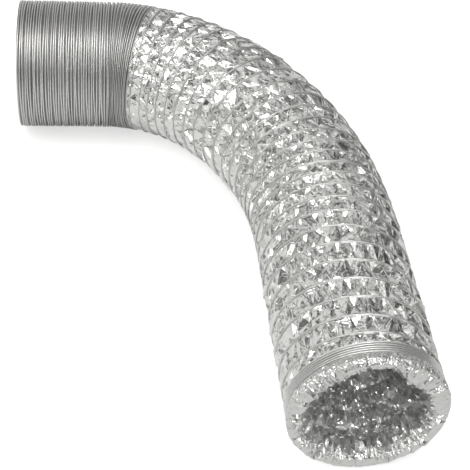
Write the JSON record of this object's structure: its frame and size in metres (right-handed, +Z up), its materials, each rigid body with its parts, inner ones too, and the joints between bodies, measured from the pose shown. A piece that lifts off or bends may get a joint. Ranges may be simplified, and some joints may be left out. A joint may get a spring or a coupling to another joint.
{
  "type": "flexible air duct",
  "caption": "Flexible round air duct of crinkled foil over a spring wire, part still closed up as a pack, the rest pulled out round a right-angle bend",
  "frame": {"origin": "centre of the inlet opening, on the duct's axis", "axes": "+X runs into the duct from the inlet, +Z is up, and the duct lies flat and bends towards -Y"},
  "size_m": [0.441, 0.6606, 0.1576],
  "materials": {
    "foil": "crinkled bright foil",
    "wire": "foil-covered spring wire"
  },
  "bodies": {
    "pack": {"pack_inner_foil": "foil", "pack_wire_coil": "wire", "pack_outer_foil": "foil"},
    "fan_1": {"fan_wire_1": "wire", "fan_foil_1": "foil"},
    "fan_2": {"fan_wire_2": "wire", "fan_foil_2": "foil"},
    "fan_3": {"fan_wire_3": "wire", "fan_foil_3": "foil"},
    "fan_4": {"fan_wire_4": "wire", "fan_foil_4": "foil"},
    "link_01": {"wire_turn_01": "wire", "foil_bay_01": "foil"},
    "link_02": {"wire_turn_02": "wire", "foil_bay_02": "foil"},
    "link_03": {"wire_turn_03": "wire", "foil_bay_03": "foil"},
    "link_04": {"wire_turn_04": "wire", "foil_bay_04": "foil"},
    "link_05": {"wire_turn_05": "wire", "foil_bay_05": "foil"},
    "link_06": {"wire_turn_06": "wire", "foil_bay_06": "foil"},
    "link_07": {"wire_turn_07": "wire", "foil_bay_07": "foil"},
    "link_08": {"wire_turn_08": "wire", "foil_bay_08": "foil"},
    "link_09_10": {"wire_turn_09_10": "wire", "foil_bay_09_10": "foil"},
    "link_11_12": {"wire_turn_11_12": "wire", "foil_bay_11_12": "foil"},
    "link_13_14": {"wire_turn_13_14": "wire", "foil_bay_13_14": "foil"},
    "link_15_16": {"wire_turn_15_16": "wire", "foil_bay_15_16": "foil"},
    "link_17_18": {"wire_turn_17_18": "wire", "foil_bay_17_18": "foil"},
    "link_19_20": {"wire_turn_19_20": "wire", "foil_bay_19_20": "foil"},
    "link_21": {"wire_turn_21": "wire", "foil_bay_21": "foil"},
    "link_22": {"wire_turn_22": "wire", "foil_bay_22": "foil"},
    "link_23": {"wire_turn_23": "wire", "foil_bay_23": "foil"},
    "link_24": {"wire_turn_24": "wire", "foil_bay_24": "foil"},
    "link_25": {"wire_turn_25": "wire", "foil_bay_25": "foil"},
    "link_26": {"wire_turn_26": "wire", "foil_bay_26": "foil"},
    "link_27": {"wire_turn_27": "wire", "foil_bay_27": "foil"},
    "mouth": {"wire_turn_28": "wire", "mouth_foil_sleeve": "foil", "end_wire_turns": "wire", "mouth_lip": "foil"}
  },
  "joints": [
    {"name": "pull_out", "type": "slide", "parent": "pack", "child": "fan_1", "axis": [1, 0, 0], "range_m": [0, 0.015]},
    {"name": "pull_out_2", "type": "slide", "parent": "fan_1", "child": "fan_2", "axis": [0.9976, -0.0698, 0], "range_m": [0, 0.015]},
    {"name": "pull_out_3", "type": "slide", "parent": "fan_2", "child": "fan_3", "axis": [0.9903, -0.1392, 0], "range_m": [0, 0.015]},
    {"name": "pull_out_4", "type": "slide", "parent": "fan_3", "child": "fan_4", "axis": [0.9781, -0.2079, 0], "range_m": [0, 0.015]},
    {"name": "bend", "type": "hinge", "parent": "fan_4", "child": "link_01", "pos_m": [0.15578, -0.00779, 0], "axis": [0, 0, 1], "range_deg": [-0.72, 2.88]},
    {"name": "bend_2", "type": "hinge", "parent": "link_01", "child": "link_02", "pos_m": [0.173, -0.01368, 0], "axis": [0, 0, 1], "range_deg": [-1.41, 5.63]},
    {"name": "bend_3", "type": "hinge", "parent": "link_02", "child": "link_03", "pos_m": [0.1894, -0.02116, 0], "axis": [0, 0, 1], "range_deg": [-1.36, 5.44]},
    {"name": "bend_4", "type": "hinge", "parent": "link_03", "child": "link_04", "pos_m": [0.20546, -0.03041, 0], "axis": [0, 0, 1], "range_deg": [-1.31, 5.25]},
    {"name": "bend_5", "type": "hinge", "parent": "link_04", "child": "link_05", "pos_m": [0.22151, -0.04173, 0], "axis": [0, 0, 1], "range_deg": [-1.26, 5.05]},
    {"name": "bend_6", "type": "hinge", "parent": "link_05", "child": "link_06", "pos_m": [0.23767, -0.05541, 0], "axis": [0, 0, 1], "range_deg": [-1.21, 4.85]},
    {"name": "bend_7", "type": "hinge", "parent": "link_06", "child": "link_07", "pos_m": [0.25379, -0.07157, 0], "axis": [0, 0, 1], "range_deg": [-1.16, 4.64]},
    {"name": "bend_8", "type": "hinge", "parent": "link_07", "child": "link_08", "pos_m": [0.26953, -0.09015, 0], "axis": [0, 0, 1], "range_deg": [-1.11, 4.43]},
    {"name": "lift", "type": "hinge", "parent": "link_08", "child": "link_09_10", "pos_m": [0.28445, -0.1108, 0], "axis": [-0.8413, -0.5406, 0], "range_deg": [0, 4.4]},
    {"name": "bend_9", "type": "hinge", "parent": "link_09_10", "child": "link_11_12", "pos_m": [0.31003, -0.15582, 0], "axis": [0, 0, 1], "range_deg": [-1.88, 7.51]},
    {"name": "lift_2", "type": "hinge", "parent": "link_11_12", "child": "link_13_14", "pos_m": [0.32831, -0.20085, 0], "axis": [-0.9464, -0.3229, 0], "range_deg": [0, 4.4]},
    {"name": "bend_10", "type": "hinge", "parent": "link_13_14", "child": "link_15_16", "pos_m": [0.33969, -0.24166, 0], "axis": [0, 0, 1], "range_deg": [-1.36, 5.44]},
    {"name": "lift_3", "type": "hinge", "parent": "link_15_16", "child": "link_17_18", "pos_m": [0.34625, -0.2783, 0], "axis": [-0.9902, -0.1399, 0], "range_deg": [0, 4.4]},
    {"name": "bend_11", "type": "hinge", "parent": "link_17_18", "child": "link_19_20", "pos_m": [0.35003, -0.31467, 0], "axis": [0, 0, 1], "range_deg": [-0.67, 2.7]},
    {"name": "bend_12", "type": "hinge", "parent": "link_19_20", "child": "link_21", "pos_m": [0.35234, -0.35542, 0], "axis": [0, 0, 1], "range_deg": [-0.1351, 0.54011]},
    {"name": "push_back", "type": "slide", "parent": "link_21", "child": "link_22", "axis": [0.0471, -0.9989, 0], "range_m": [-0.014, 0], "deforming": ["foil_bay_21"]},
    {"name": "push_back_2", "type": "slide", "parent": "link_22", "child": "link_23", "axis": [0.0471, -0.9989, 0], "range_m": [-0.014, 0], "deforming": ["foil_bay_22"]},
    {"name": "push_back_3", "type": "slide", "parent": "link_23", "child": "link_24", "axis": [0.0471, -0.9989, 0], "range_m": [-0.014, 0], "deforming": ["foil_bay_23"]},
    {"name": "push_back_4", "type": "slide", "parent": "link_24", "child": "link_25", "axis": [0.0471, -0.9989, 0], "range_m": [-0.014, 0], "deforming": ["foil_bay_24"]},
    {"name": "push_back_5", "type": "slide", "parent": "link_25", "child": "link_26", "axis": [0.0471, -0.9989, 0], "range_m": [-0.014, 0], "deforming": ["foil_bay_25"]},
    {"name": "push_back_6", "type": "slide", "parent": "link_26", "child": "link_27", "axis": [0.0471, -0.9989, 0], "range_m": [-0.014, 0], "deforming": ["foil_bay_26"]},
    {"name": "push_back_7", "type": "slide", "parent": "link_27", "child": "mouth", "axis": [0.0471, -0.9989, 0], "range_m": [-0.014, 0], "deforming": ["foil_bay_27"]}
  ],
  "couplings": [
    {"joint": "pull_out_2", "follows": "pull_out", "ratio": 1},
    {"joint": "pull_out_3", "follows": "pull_out", "ratio": 1},
    {"joint": "pull_out_4", "follows": "pull_out", "ratio": 1},
    {"joint": "bend_2", "follows": "bend", "ratio": 1.9518},
    {"joint": "bend_3", "follows": "bend", "ratio": 1.8864},
    {"joint": "bend_4", "follows": "bend", "ratio": 1.8197},
    {"joint": "bend_5", "follows": "bend", "ratio": 1.7515},
    {"joint": "bend_6", "follows": "bend", "ratio": 1.6817},
    {"joint": "bend_7", "follows": "bend", "ratio": 1.6101},
    {"joint": "bend_8", "follows": "bend", "ratio": 1.5367},
    {"joint": "bend_9", "follows": "bend", "ratio": 2.6043},
    {"joint": "lift_2", "follows": "lift", "ratio": 1},
    {"joint": "bend_10", "follows": "bend", "ratio": 1.8863},
    {"joint": "lift_3", "follows": "lift", "ratio": 1},
    {"joint": "bend_11", "follows": "bend", "ratio": 0.93557},
    {"joint": "bend_12", "follows": "bend", "ratio": 0.18734},
    {"joint": "push_back_2", "follows": "push_back", "ratio": 1},
    {"joint": "push_back_3", "follows": "push_back", "ratio": 1},
    {"joint": "push_back_4", "follows": "push_back", "ratio": 1},
    {"joint": "push_back_5", "follows": "push_back", "ratio": 1},
    {"joint": "push_back_6", "follows": "push_back", "ratio": 1},
    {"joint": "push_back_7", "follows": "push_back", "ratio": 1}
  ]
}
